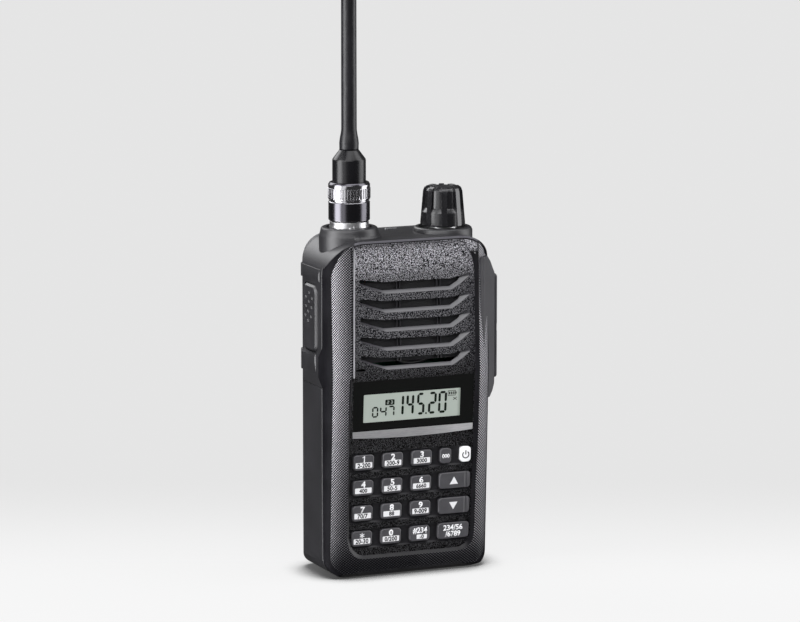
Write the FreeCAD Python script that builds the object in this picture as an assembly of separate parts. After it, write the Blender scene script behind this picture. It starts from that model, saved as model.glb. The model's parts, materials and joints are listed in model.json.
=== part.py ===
"""Handheld two-way radio with a keypad, a display, a bayonet whip antenna and a swing-off battery.

Frame: +Z up, -Y is the front (keypad side), +X is the user's right. Origin on the standing plane,
at the middle of the housing's footprint. Units are millimetres.
"""
import FreeCAD, Part
import math
import os

V = FreeCAD.Vector
os.makedirs("parts", exist_ok=True)

# ---------------------------------------------------------------- driving dimensions
W = 58.6            # housing width
H = 112.0           # standing plane to top plate
D = 30.5            # housing depth
HW = W / 2
YF, YB = -D / 2, D / 2
ZC = 0.0            # underside of the cases
ZT = 67.0           # height of the crease where the front is proudest
T1 = math.radians(3.94)   # lower front leans back towards the bottom
T2 = math.radians(2.14)   # upper front leans back towards the top
RF, RR = 8.0, 6.0   # vertical corner radii, front (at the crease) and rear
RF_DROP = 2.5       # the front corner radius shrinks by this much from the crease to the floor
RTOP, RBOT = 12.0, 7.6    # outline corner radii, top and bottom
YS = -6.5           # seam between front case and what is behind it
ZB = 63.5           # top of the battery
YP = 12.9           # seam between the frame and the rear panel
GAP = 0.1           # general assembly gap
REC = 1.0           # depth of the recessed front panel
WALL_F = 2.7        # front case wall, outer face to inner face
TROUGH = 0.7        # depth of the key troughs below the panel
ANT = V(-16.9, 0, 0)      # antenna axis
KNB = V(16.5, 0, 0)       # volume control axis
Z_TIP = 285.0       # antenna tip
KEY_W, KEY_H = 7.2, 5.2
KEY_TRAVEL = 0.6
COLS = (-17.1, -6.75, 3.6)
ROWS = (38.8, 30.2, 21.6, 13.0)
KEYS = {            # name: (x, z, width, height)
    "key_1": (COLS[0], ROWS[0], KEY_W, KEY_H), "key_2": (COLS[1], ROWS[0], KEY_W, KEY_H),
    "key_3": (COLS[2], ROWS[0], KEY_W, KEY_H), "key_monitor": (12.2, ROWS[0], 4.0, KEY_H),
    "key_power": (19.4, ROWS[0], 3.8, KEY_H),
    "key_4": (COLS[0], ROWS[1], KEY_W, KEY_H), "key_5": (COLS[1], ROWS[1], KEY_W, KEY_H),
    "key_6": (COLS[2], ROWS[1], KEY_W, KEY_H), "key_up": (15.75, ROWS[1], 11.2, 5.5),
    "key_7": (COLS[0], ROWS[2], KEY_W, KEY_H), "key_8": (COLS[1], ROWS[2], KEY_W, KEY_H),
    "key_9": (COLS[2], ROWS[2], KEY_W, KEY_H), "key_down": (15.75, ROWS[2], 11.2, 5.5),
    "key_star": (COLS[0], ROWS[3], KEY_W, KEY_H), "key_0": (COLS[1], ROWS[3], KEY_W, KEY_H),
    "key_hash": (COLS[2], ROWS[3], KEY_W, KEY_H), "key_call": (15.75, ROWS[3], 11.2, 5.5),
}


# ---------------------------------------------------------------- helpers
def box(x0, x1, y0, y1, z0, z1):
    return Part.makeBox(x1 - x0, y1 - y0, z1 - z0, V(x0, y0, z0))


def cyl(r, z0, z1, c):
    return Part.makeCylinder(r, z1 - z0, V(c.x, c.y, z0))


def cyl_y(r, y0, y1, x, z):
    return Part.makeCylinder(r, y1 - y0, V(x, y0, z), V(0, 1, 0))


def cyl_x(r, x0, x1, y, z):
    return Part.makeCylinder(r, x1 - x0, V(x0, y, z), V(1, 0, 0))


def poly_face(pts):
    return Part.Face(Part.makePolygon(pts + [pts[0]]))


def rrect_xz(x0, x1, z0, z1, r, y0, y1):
    """Rounded rectangle in XZ, extruded from y0 to y1. r is one radius or (bottom, top)."""
    rb, rt = r if isinstance(r, tuple) else (r, r)
    k = math.sqrt(0.5)
    e = [Part.makeLine(V(x0 + rb, y0, z0), V(x1 - rb, y0, z0)),
         Part.Arc(V(x1 - rb, y0, z0), V(x1 - rb + rb * k, y0, z0 + rb - rb * k), V(x1, y0, z0 + rb)).toShape(),
         Part.makeLine(V(x1, y0, z0 + rb), V(x1, y0, z1 - rt)),
         Part.Arc(V(x1, y0, z1 - rt), V(x1 - rt + rt * k, y0, z1 - rt + rt * k), V(x1 - rt, y0, z1)).toShape(),
         Part.makeLine(V(x1 - rt, y0, z1), V(x0 + rt, y0, z1)),
         Part.Arc(V(x0 + rt, y0, z1), V(x0 + rt - rt * k, y0, z1 - rt + rt * k), V(x0, y0, z1 - rt)).toShape(),
         Part.makeLine(V(x0, y0, z1 - rt), V(x0, y0, z0 + rb)),
         Part.Arc(V(x0, y0, z0 + rb), V(x0 + rb - rb * k, y0, z0 + rb - rb * k), V(x0 + rb, y0, z0)).toShape()]
    return Part.Face(Part.Wire(e)).extrude(V(0, y1 - y0, 0))


def revolve(rz, c):
    """Solid of revolution about the vertical axis through c; rz lists (radius, z)."""
    f = poly_face([V(r, 0, z) for r, z in rz])
    s = f.revolve(V(0, 0, 0), V(0, 0, 1), 360)
    s.translate(V(c.x, c.y, 0))
    return s


def loft_xz(a, ya, b, yb):
    """Ruled solid between polygon a at ya and polygon b at yb; both list (x, z)."""
    wa = Part.makePolygon([V(x, ya, z) for x, z in a + [a[0]]])
    wb = Part.makePolygon([V(x, yb, z) for x, z in b + [b[0]]])
    return Part.makeLoft([wa, wb], True, True)


def fuse(first, *others):
    return first.multiFuse(list(others)).removeSplitter() if others else first


def lean(shape, angle):
    """Turns a shape made square to the front onto the leaning lower (T1) or upper (-T2) front face."""
    s = shape.copy()
    s.rotate(V(0, YF, ZT), V(1, 0, 0), math.degrees(angle))
    return s


def flat_z(z):
    """Height before lean() of a point of the lower face that ends at height z."""
    return ZT - (ZT - z) / math.cos(T1)


def section(ox, oy, r, z=None, dy=0.0):
    """Outline across the housing at height z (the crease by default), inset ox and oy, corner radius r."""
    z = ZT if z is None else z
    x, y = HW - ox, YF + oy + dy
    cx, cy = x - r, y + r
    k = math.sqrt(0.5)
    e = [Part.makeLine(V(-x, 60, z), V(-x, cy, z)),
         Part.Arc(V(-x, cy, z), V(-cx - r * k, cy - r * k, z), V(-cx, y, z)).toShape(),
         Part.makeLine(V(-cx, y, z), V(cx, y, z)),
         Part.Arc(V(cx, y, z), V(cx + r * k, cy - r * k, z), V(x, cy, z)).toShape(),
         Part.makeLine(V(x, cy, z), V(x, 60, z)),
         Part.makeLine(V(x, 60, z), V(-x, 60, z))]
    return Part.Wire(e)


def swept(ox, oy, r):
    """Solid behind the two leaning front faces, inset ox at the sides and oy at the front."""
    low, up = ZT + 12, H - ZT + 12
    r2 = max(0.6, r - RF_DROP * low / ZT)
    a = Part.makeLoft([section(ox, oy, r2, ZT - low, low * math.tan(T1)), section(ox, oy, r)], True, True)
    b = Part.Face(section(ox, oy, r)).extrude(V(0, up * math.tan(T2), up))
    return a.fuse(b).removeSplitter()


def outline(off, z0=None, y0=-45, y1=70):
    z0 = ZC + off if z0 is None else z0
    return rrect_xz(-HW + off, HW - off, z0, H - off, (RBOT - off, RTOP - off), y0, y1)


def rear(off):
    x, y, r = HW - off, YB - off, RR - off
    k = math.sqrt(0.5)
    e = [Part.makeLine(V(x, -60, -20), V(x, y - r, -20)),
         Part.Arc(V(x, y - r, -20), V(x - r + r * k, y - r + r * k, -20), V(x - r, y, -20)).toShape(),
         Part.makeLine(V(x - r, y, -20), V(-x + r, y, -20)),
         Part.Arc(V(-x + r, y, -20), V(-x + r - r * k, y - r + r * k, -20), V(-x, y - r, -20)).toShape(),
         Part.makeLine(V(-x, y - r, -20), V(-x, -60, -20)),
         Part.makeLine(V(-x, -60, -20), V(x, -60, -20))]
    return Part.Face(Part.Wire(e)).extrude(V(0, 0, 160))


def envelope(off):
    return swept(off, off, RF - off).common(outline(off)).common(rear(off))


def yz_region(pts):
    """Prism across the whole width from a polygon of (y, z)."""
    return poly_face([V(-60, y, z) for y, z in pts]).extrude(V(120, 0, 0))


OUT = {}


def keep(name, shape):
    OUT[name] = shape


# ---------------------------------------------------------------- housing envelope and seams
def on_outline(p):
    r = RTOP if p.z > H / 2 else RBOT
    qx, qz = abs(p.x) - (HW - r), abs(p.z - H / 2) - (H / 2 - r)
    return abs(math.hypot(max(qx, 0), max(qz, 0)) + min(max(qx, qz), 0) - r) < 0.35


def seam_bevel(shape, y, size, bands):
    """Bevels the outer edges of a part along the seam plane at y, band by band in z."""
    for z0, z1 in bands:
        edges = []
        for e in shape.Edges:
            b = e.BoundBox
            mid = e.valueAt((e.FirstParameter + e.LastParameter) / 2)
            if abs(b.YMin - y) < 1e-3 and abs(b.YMax - y) < 1e-3 and z0 < mid.z < z1 and on_outline(mid):
                edges.append(e)
        try:
            out = shape.makeChamfer(size, edges)
            if out.isValid() and 0.97 < out.Volume / shape.Volume < 1.0:
                print("seam bevel", round(y, 2), (z0, z1), len(edges), "edges")
                shape = out
            else:
                print("seam bevel", round(y, 2), (z0, z1), "not usable")
        except Exception as err:
            print("seam bevel", round(y, 2), (z0, z1), len(edges), "skipped")
    return shape


BODY = envelope(0)
# the front and rear bottom edges are bevelled
YF0 = YF + ZT * math.tan(T1)
BODY = BODY.cut(yz_region([(YF0 - 3, 1.5), (YF0 - 0.1, 1.5), (YF0 + 2.3, 0), (YF0 + 2.3, -2), (YF0 - 3, -2)]))
BODY = BODY.cut(yz_region([(YB - 1.4, 0), (YB, 1.4), (YB + 2, 1.4), (YB + 2, -2), (YB - 1.4, -2)]))
SEAM = [(YS, -5), (YS, 63.7), (-3.3, 66.6), (-3.3, 73.2), (YS, 76.6), (YS, 130)]
front_zone = yz_region([(-45, -5)] + SEAM + [(-45, 130)])
behind_zone = yz_region([(60, -5)] + [(y + GAP, z) for y, z in SEAM] + [(60, 130)])
SKIN = 2.3          # front case skin in front of the top plate's nose
Z_NOSE = 100.0
LIP, LIP_T = 0.45, 1.1     # the top plate's lip reaches forward to this far behind the front face


def nose(gap):
    """Top plate's share of the front: a thick block behind the skin, and a thin lip over the skin's upper edge."""
    block = swept(SKIN + gap, SKIN + gap, RF - SKIN - gap).common(box(-60, 60, -45, 2, Z_NOSE + gap, 130))
    lip = swept(0.2 + gap, LIP + gap, RF - 0.2 - gap).common(box(-60, 60, -45, 2, 103.0 + gap, 130))
    return block.fuse(lip.cut(outline(LIP_T - gap)))


nose_zone = nose(0)

# ---------------------------------------------------------------- front case
case = BODY.common(front_zone).cut(nose_zone)
hollow = swept(2.0, WALL_F, 5.0).common(outline(2.0)).common(box(-60, 60, -45, 40, -5, Z_NOSE - 1.5))
case = case.cut(hollow)
# recessed front panel, one tapered cutter on each leaning face
XR0, XR1 = 23.3, 21.9
low0 = [(-22.6, ZT + 0.4), (-22.95, flat_z(44.0)), (-22.7, flat_z(13.2)), (-22.0, flat_z(10.4)), (-21.2, flat_z(8.9)), (-20.0, flat_z(7.5)), (-18.3, flat_z(6.5)), (-16.5, flat_z(6.15)), (15.8, flat_z(6.05)), (18.9, flat_z(6.3)), (21.0, flat_z(7.1)), (22.4, flat_z(8.6)), (XR0 - 0.2, flat_z(11.5)), (XR0, ZT + 0.4)]
low1 = [(-21.85, ZT + 0.4), (-22.2, flat_z(44.0)), (-21.5, flat_z(13.6)), (-20.75, flat_z(11.0)), (-19.9, flat_z(9.5)), (-18.8, flat_z(8.3)), (-17.4, flat_z(7.55)), (-15.8, flat_z(7.3)), (15.2, flat_z(7.2)), (17.9, flat_z(7.35)), (19.7, flat_z(7.95)), (21.0, flat_z(9.3)), (XR1 - 0.1, flat_z(12.0)), (XR1, ZT + 0.4)]
up0 = [(-22.6, ZT - 0.4), (XR0, ZT - 0.4), (XR0, 100.5), (22.6, 105.0), (20.9, 108.3), (17.6, 110.9), (-21.4, 110.9), (-22.1, 110.0)]
up1 = [(-21.85, ZT - 0.4), (XR1, ZT - 0.4), (XR1, 100.5), (21.3, 104.6), (19.9, 107.5), (17.2, 110.3), (-20.9, 110.3), (-21.35, 109.8)]


def taper(a, b, depth):
    """Cutter with its mouth a at the front face and its floor b at depth."""
    k = 0.4 / depth
    mouth = [(pa[0] + (pa[0] - pb[0]) * k, pa[1] + (pa[1] - pb[1]) * k) for pa, pb in zip(a, b)]
    return loft_xz(mouth, YF - 0.4, b, YF + depth)


case = case.cut(lean(taper(low0, low1, REC), T1)).cut(lean(taper(up0, up1, REC), -T2))
# raised bead along the left edge of the panel, above the display
bead = Part.makeLoft([Part.makePolygon([V(x, y, z) for x, y in ((xb, YF + REC + 0.05), (xb + 0.44, YF + REC - 0.55), (xb + 0.62, YF + REC - 0.55), (xb + 0.85, YF + REC + 0.05), (xb, YF + REC + 0.05))]) for xb, z in ((-21.75, 67.6), (-20.95, 109.6))], True, True)
case = case.fuse(lean(bead, -T2))
# grille slots: bevelled lower lip and a ramp at the right end
s0 = [(-18.8, 99.6), (-14.1, 99.0), (-10.5, 98.45), (13.4, 98.25), (16.7, 98.8), (21.0, 99.9), (21.1, 98.8), (17.6, 96.3), (14.2, 94.3), (-9.2, 94.3), (-13.4, 95.8), (-18.6, 97.9)]
s1 = [(-18.5, 99.5), (-14.1, 98.95), (-10.5, 98.35), (13.4, 98.15), (15.6, 98.5), (17.3, 98.95), (17.2, 98.3), (16.5, 97.3), (13.7, 95.6), (-10.0, 95.6), (-13.9, 96.75), (-18.5, 98.45)]
PITCH = 6.24
for i in range(5):
    a = [(x, z - PITCH * i) for x, z in s0]
    b = [(x, z - PITCH * i) for x, z in s1]
    cutter = loft_xz(a, YF + REC - 0.02, b, YF + REC + 1.1)
    deep = poly_face([V(x, YF + REC + 1.05, z) for x, z in b]).extrude(V(0, 1.4, 0))
    case = case.cut(lean(cutter.fuse(deep), -T2))
# thin inner ribs that stiffen the grille
for x in (-5.4, -4.3, 9.0, 10.1):
    case = case.fuse(lean(box(x, x + 0.45, YF + REC + 1.2, YF + WALL_F + 0.2, 72.0, 99.4), -T2))
# microphone slot
case = case.cut(lean(box(-20.8, -16.9, YF, YF + 4, 69.5, 70.3), -T2))
# key troughs and key holes
for z in ROWS:
    cl, cr = (1.5, 1.0) if z < 20 else (0.0, 0.0)
    t0 = [(-21.8 + 0.3 * cl, flat_z(z + 3.15)), (21.75, flat_z(z + 3.15)), (21.75 - cr, flat_z(z - 3.5)), (-21.8 + cl, flat_z(z - 3.5))]
    t1 = [(-21.7 + 0.3 * cl, flat_z(z + 3.05)), (21.65, flat_z(z + 3.05)), (21.6 - cr, flat_z(z - 2.95)), (-21.65 + cl, flat_z(z - 2.95))]
    k = 0.02
    case = case.cut(lean(loft_xz(t0, YF + REC - k, t1, YF + REC + TROUGH), T1))
for name, (x, z, w, h) in KEYS.items():
    c = 0.22
    zz = flat_z(z)
    case = case.cut(lean(rrect_xz(x - w / 2 - c, x + w / 2 + c, zz - h / 2 - c, zz + h / 2 + c, 1.35, YF + 0.5, YF + 5), T1))
# display pocket, its curved lower edge, and the opening over the glass
WX0, WX1, WZ0, WZ1 = -21.25, 21.7, 46.95, 66.05


def trim_face(x0, x1, ztop, zend, sag, y):
    mid = (x0 + x1) / 2
    e = [Part.makeLine(V(x0, y, ztop), V(x0, y, zend)),
         Part.Arc(V(x0, y, zend), V(mid, y, zend - sag), V(x1, y, zend)).toShape(),
         Part.makeLine(V(x1, y, zend), V(x1, y, ztop)), Part.makeLine(V(x1, y, ztop), V(x0, y, ztop))]
    return Part.Face(Part.Wire(e))


case = case.cut(lean(trim_face(WX0 - 0.06, WX1 + 0.06, WZ1 + 0.06, flat_z(47.2) - 0.06, 0.8, YF + REC - 0.3).extrude(V(0, 1.35, 0)), T1))
case = case.cut(lean(box(-18.6, 17.8, YF + 1, YF + 6, flat_z(51.3), flat_z(62.5)), T1))
# screw bosses
SCREWS = [(-25.0, 12.5), (25.0, 12.5), (-25.0, 56.0), (25.0, 56.0)]
for x, z in SCREWS:
    y_face = YF + (ZT - z) * math.tan(T1)
    boss = cyl_y(1.9, y_face + 2.2, -7.35, x, z)
    boss = boss.common(BODY)
    case = case.fuse(boss).cut(cyl_y(0.9, y_face + 3.2, -5, x, z))
case = case.removeSplitter()
case = seam_bevel(case, YS, 0.2, [(5.0, 63.6), (76.7, 99.0)])
keep("front_case", case)

# ---------------------------------------------------------------- frame: top plate, side walls, PTT surround
outer = BODY.common(behind_zone).common(box(-60, 60, -45, YP, ZB + GAP, 130))
fr = outer.fuse(BODY.common(nose(GAP)).common(box(-60, 60, -45, YS + 0.3, Z_NOSE, 130)))
inner = swept(2.0, SKIN + GAP + 1.4, 4.0).common(rrect_xz(-HW + 2, HW - 2, 30, H - 2, (3, RTOP - 2), -45, 70))
fr = fr.cut(inner).removeSplitter()
# thick pad behind the push-to-talk pocket
fr = fr.fuse(box(-27.6, -25.6, -3.0, 11.0, 73.9, 98.0))
# guard ridges above and below the pocket, following the corner
ridge_skin = envelope(-0.5)


def ridge(pts, y0, y1):
    s = poly_face([V(x, y0, z) for x, z in pts]).extrude(V(0, y1 - y0, 0))
    return s


up_ridge = ridge([(-28.4, 98.0), (-29.3, 98.2), (-29.6, 98.8), (-29.6, 100.6), (-29.25, 102.3), (-28.4, 102.6)], -4.6, YP)
lo_ridge = ridge([(-28.4, 74.0), (-29.3, 73.9), (-29.6, 73.3), (-29.6, 71.2), (-29.25, 67.2), (-28.4, 67.0)], -1.2, YP)
slope = poly_face([V(-29.25, -4.7, 0), V(-31.6, -4.7, 0), V(-31.6, -0.6, 0)]).extrude(V(0, 0, 130))
slope2 = poly_face([V(-29.25, -1.3, 0), V(-31.6, -1.3, 0), V(-31.6, 2.9, 0)]).extrude(V(0, 0, 130))
ridges = up_ridge.common(ridge_skin).cut(slope).fuse(lo_ridge.common(ridge_skin).cut(slope2))
fr = fr.fuse(ridges)
# pocket for the push-to-talk pad, and the plunger's hole
PY0, PY1, PZ0, PZ1 = -2.5, 9.3, 74.5, 96.6
pocket = rrect_xz(PY0 - 0.3, PY1 + 0.3, PZ0 - 0.3, PZ1 + 0.3, 3.3, 0, 8)
pocket.rotate(V(0, 0, 0), V(0, 0, 1), 90)
pocket.translate(V(-27.35, 0, 0))
fr = fr.cut(pocket).cut(cyl_x(1.7, -28, -24, 3.4, 85.5))
# bosses round the antenna socket and the volume control
boss_a = revolve([(0, 105), (9.95, 105), (9.95, 112.4), (9.6, 113.6), (9.35, 114.8), (9.1, 115.2), (8.7, 115.4), (0, 115.4)], ANT)
boss_a = boss_a.fuse(revolve([(9.5, 111.6), (10.9, 111.6), (10.9, 112.0), (10.3, 112.3), (9.95, 112.9), (9.5, 112.9)], ANT).common(box(-19.0, 0, -11.0, 20, 100, 120)))
fr = fr.fuse(boss_a.common(rear(0)).cut(inner).common(box(-28.2, 0, -11.0, 20, 100, 120)))
boss_k = revolve([(0, 105), (9.85, 105), (9.85, 112.5), (9.5, 113.3), (9.1, 113.6), (0, 113.6)], KNB)
fr = fr.fuse(boss_k.common(rear(0)).cut(inner).common(box(0, 27.6, -11.0, 20, 100, 120)))
fr = fr.cut(cyl(7.5, 114.0, 116, ANT)).cut(cyl(4.9, 105, 116, ANT))
fr = fr.cut(cyl(8.1, 112.6, 116, KNB)).cut(cyl(3.55, 105, 116, KNB))
# seat of the status light
LX, LY = 2.3, 10.4
lens_cut = fuse(box(LX - 1.4, LX + 1.4, LY - 0.8, LY + 0.8, 108, 114), cyl(0.8, 108, 114, V(LX - 1.4, LY, 0)), cyl(0.8, 108, 114, V(LX + 1.4, LY, 0)))
fr = fr.cut(lens_cut)
# holes for the audio jacks
JY, JZ1, JZ2 = -0.4, 86.6, 73.4
fr = fr.cut(cyl_x(3.3, 24, 34, JY, JZ1)).cut(cyl_x(3.3, 24, 34, JY, JZ2))
fr = fr.removeSplitter()
fr = seam_bevel(fr, YS + GAP, 0.28, [(76.7, 112.5)])
keep("body_frame", fr)
lens = fuse(box(LX - 1.4, LX + 1.4, LY - 0.75, LY + 0.75, 109.2, 112.4), cyl(0.75, 109.2, 112.4, V(LX - 1.4, LY, 0)), cyl(0.75, 109.2, 112.4, V(LX + 1.4, LY, 0)))
keep("led_lens", lens)

# ---------------------------------------------------------------- rear panel with threaded inserts
panel = BODY.common(box(-60, 60, YP + GAP, 60, ZB + GAP, 130))
CLIP_X, CLIP_Z = 10.0, 92.0
for sx in (-1, 1):
    panel = panel.cut(cyl_y(2.2, 5, 20, sx * CLIP_X, CLIP_Z))
# two shallow grip grooves and a plain raised field on the back
panel = panel.cut(rrect_xz(-20, 20, 82.0, 102.0, 2.5, YB - 0.4, YB + 1))
keep("rear_panel", panel)
ins = [cyl_y(2.2, 11.2, YB - 0.4, sx * CLIP_X, CLIP_Z).cut(cyl_y(1.25, 10, 20, sx * CLIP_X, CLIP_Z)) for sx in (-1, 1)]
keep("clip_inserts", Part.makeCompound(ins))

# ---------------------------------------------------------------- jack housing and its cover, right side
jh = poly_face([V(24.0, -14.1, 50), V(25.4, -13.9, 50), V(32.3, -6.7, 50), V(32.75, -5.9, 50), V(32.75, 7.0, 50), V(31.0, 9.0, 50), V(24.0, 9.0, 50)]).extrude(V(0, 0, 60))
jh = jh.common(poly_face([V(24, -20, 104.6), V(27.4, -20, 104.6), V(29.6, -20, 102.3), V(30.9, -20, 100.2), V(32.8, -20, 97.5), V(32.8, -20, 61.4), V(31.2, -20, 58.6), V(29.4, -20, 57.0), V(24, -20, 57.0)]).extrude(V(0, 40, 0)))
jh = jh.cut(envelope(-0.02))
CX0, CX1, CY0, CY1, CZ0, CZ1 = 32.87, 34.05, -5.4, 5.0, 62.4, 97.3
HX, HY = 33.45, 5.7
for z0, z1 in ((64.0, 66.0), (78.9, 80.9), (93.8, 95.8)):
    lug = fuse(box(32.4, HX, HY - 0.65, HY + 0.65, z0, z1), cyl(0.65, z0, z1, V(HX, HY, 0)))
    jh = jh.fuse(lug)
for z, r in ((JZ1, 2.9), (JZ2, 2.9)):
    jh = jh.cut(cyl_x(r, 28, 34, JY, z))
jh = jh.removeSplitter()
jhs = [s for s in jh.Solids if s.Volume > 5]
keep("jack_housing", jhs[0] if len(jhs) == 1 else Part.makeCompound(jhs))
cov = rrect_xz(CY0, CY1, CZ0, CZ1, 1.2, 0, CX1 - CX0)
cov.rotate(V(0, 0, 0), V(0, 0, 1), 90)
cov.translate(V(CX1, 0, 0))
chf = [e for e in cov.Edges if e.BoundBox.XMin > CX1 - 0.01]
try:
    cov = cov.makeChamfer(0.35, chf)
except Exception as err:
    print("cover chamfer skipped", err)
cov = cov.cut(box(33.72, 35, -7, 7, 78.2, 80.6))
for z0, z1 in ((66.3, 78.6), (81.2, 93.5)):
    knuckle = fuse(box(CX0, HX, CY1 - 0.6, HY, z0, z1), cyl(0.58, z0, z1, V(HX, HY, 0)))
    cov = cov.fuse(knuckle)
for z, r in ((JZ1, 1.5), (JZ2, 1.1)):
    cov = cov.fuse(cyl_x(r, 31.7, 33.05, JY, z))
cov = cov.removeSplitter()
keep("jack_cover", cov)
jacks = []
for z, bore in ((JZ1, 1.78), (JZ2, 1.28)):
    b = fuse(cyl_x(2.8, 26.0, 30.9, JY, z), box(19.5, 26.0, JY - 3.4, JY + 3.4, z - 3.4, z + 3.4)).cut(cyl_x(bore, 20.5, 34, JY, z))
    jacks.append(b)
keep("audio_jacks", Part.makeCompound(jacks))

# ---------------------------------------------------------------- display stack
keep("display_window", lean(box(WX0, WX1, YF + REC + 0.0, YF + REC + 1.0, flat_z(49.3), WZ1), T1))
keep("window_trim", lean(trim_face(WX0, WX1, flat_z(49.25), flat_z(47.2), 0.8, YF + REC - 0.05).extrude(V(0, 1.0, 0)), T1))
keep("lcd_panel", lean(box(-18.4, 17.6, YF + 2.15, YF + 4.1, flat_z(51.5), flat_z(62.3)), T1))
keep("lcd_backlight", lean(box(-19.4, 18.6, YF + 4.15, YF + 5.3, flat_z(50.5), flat_z(63.2)), T1))

# ---------------------------------------------------------------- keys, membrane, domes and logic board
for name, (x, z, w, h) in KEYS.items():
    zz = flat_z(z)
    cap = rrect_xz(x - w / 2, x + w / 2, zz - h / 2, zz + h / 2, 1.15, YF + 0.62, YF + 2.85)
    top = [e for e in cap.Edges if e.BoundBox.YMax < YF + 0.63]
    try:
        cap = cap.makeFillet(0.35, top)
    except Exception as err:
        print(name, "fillet skipped", err)
    if name in ("key_up", "key_down"):   # a shallow thumb groove near the right end
        cap = cap.cut(Part.makeCylinder(0.95, h + 2, V(x + w / 2 - 1.5, YF + 0.62 - 0.62, zz - h / 2 - 1), V(0, 0, 1)))
    flange = rrect_xz(x - w / 2 - 0.5, x + w / 2 + 0.5, zz - h / 2 - 0.5, zz + h / 2 + 0.5, 1.0, YF + 2.8, YF + 3.3)
    plunger = cyl_y(1.1, YF + 3.2, YF + 3.6, x, zz)
    keep(name, lean(cap.fuse(flange).fuse(plunger).removeSplitter(), T1))
zl, zh = flat_z(8.0), flat_z(43.6)
mem = lean(rrect_xz(-22.6, 22.6, zl, zh, 1.5, YF + 4.25, YF + 4.65), T1)
keep("keypad_membrane", mem)
domes = []
for name, (x, z, w, h) in KEYS.items():
    zz = flat_z(z)
    domes.append(lean(Part.makeCone(1.9, 1.1, 0.3, V(x, YF + 5.0, zz), V(0, -1, 0)), T1))
keep("key_domes", Part.makeCompound(domes))
board = lean(box(-22.8, 22.8, YF + 5.03, YF + 5.83, flat_z(7.0), flat_z(45.0)), T1)
board = board.fuse(lean(box(-22.8, 22.8, YF + 5.35, YF + 6.15, flat_z(44.9), flat_z(63.0)), T1)).removeSplitter()
keep("logic_board", board)

# ---------------------------------------------------------------- speaker and microphone
SPX, SPZ = 1.1, 86.0
net = lean(rrect_xz(-19.2, 21.4, 71.9, 100.6, 2.0, YF + WALL_F + 0.25, YF + WALL_F + 0.6), -T2)
net = net.common(box(-60, 60, -45, 0, 60, 98.3))
keep("speaker_net", net)
spk_y = -10.5


def rev_y(ry, x, z):
    f = poly_face([V(r, y, 0) for r, y in ry])
    s = f.revolve(V(0, 0, 0), V(0, 1, 0), 360)
    s.translate(V(x, 0, z))
    return s


SPZ = 84.0
keep("speaker_frame", rev_y([(12.9, spk_y), (14.0, spk_y), (14.0, spk_y + 2.6), (8.5, spk_y + 4.4), (8.5, spk_y + 6.6), (0, spk_y + 6.6), (0, spk_y + 4.0), (7.6, spk_y + 4.0), (12.9, spk_y + 2.2)], SPX, SPZ))
keep("speaker_cone", rev_y([(0, spk_y + 3.0), (3.8, spk_y + 3.0), (12.8, spk_y + 0.7), (12.8, spk_y + 1.2), (3.9, spk_y + 3.5), (0, spk_y + 3.5)], SPX, SPZ))
mic = cyl_y(2.0, -11.7, -9.7, -18.9, 69.9)
keep("mic_capsule", mic)

# ---------------------------------------------------------------- cast chassis, boards, screws, contacts
ch = box(-27.0, 27.0, -6.3, -2.1, 3.7, 65.2).cut(box(-23.2, 23.2, -7, -3.5, 6.0, 61.0))
ch = ch.cut(box(-30, 30, -7, -6.0, 60, 70))
shelf = box(-27.0, 27.0, -3.0, 9.4, 63.75, 65.2)
back = box(-25.2, 25.2, 8.0, 9.4, 65.0, 104.0)
ch = ch.fuse(shelf).fuse(back)
for x, z in SCREWS:
    ch = ch.cut(cyl_y(0.95, -8, 0, x, z)).cut(cyl_y(1.85, -3.3, 0, x, z))
CONX = (-12.0, -4.0, 4.0, 12.0)
for x in CONX:
    ch = ch.cut(box(x - 1.6, x + 1.6, -3.35, -1, 49.0, 57.0))
corner_trim = rrect_xz(-27.0, 27.0, 3.7, 110, (7.0, 2.0), -20, 20)
ch = ch.common(corner_trim).removeSplitter()
keep("chassis", ch)
screws = []
for x, z in SCREWS:
    y_face = YF + (ZT - z) * math.tan(T1)
    s = fuse(cyl_y(0.85, y_face + 3.6, -3.2, x, z), cyl_y(1.7, -3.25, -2.2, x, z))
    s = s.cut(box(x - 0.2, x + 0.2, -2.75, -2, z - 1.0, z + 1.0)).cut(box(x - 1.0, x + 1.0, -2.75, -2, z - 0.2, z + 0.2))
    screws.append(s)
keep("case_screws", Part.makeCompound(screws))
keep("battery_contacts", Part.makeCompound([fuse(box(x - 1.2, x + 1.2, -3.1, -2.7, 49.4, 56.6), Part.makeCylinder(0.55, 2.4, V(x - 1.2, -2.72, 53), V(1, 0, 0))) for x in CONX]))
g_out = swept(2.1, WALL_F + 0.1, 4.9).common(outline(2.1)).common(box(-60, 60, -7.25, YS + 0.1, 0, 62.6))
g_in = swept(3.0, WALL_F + 1.0, 4.0).common(outline(3.0)).common(box(-60, 60, -9, 0, 0, 61.8))
gasket = g_out.cut(g_in)
for x, z in SCREWS:
    gasket = gasket.cut(cyl_y(1.0, -9, -6, x, z))
keep("main_gasket", gasket)
keep("main_board", box(-20.4, 19.0, 2.6, 3.8, 66.0, 103.0).cut(cyl_x(4.0, 18, 30, 0, 73)))
keep("shield_cans", Part.makeCompound([box(-20.0, -2.0, 3.85, 7.6, 68.0, 98.0).cut(box(-19.6, -2.4, 3.8, 7.2, 68.4, 97.6)), box(0.0, 18.0, 3.85, 7.6, 68.0, 88.0).cut(box(0.4, 17.6, 3.8, 7.2, 68.4, 87.6))]))

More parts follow.
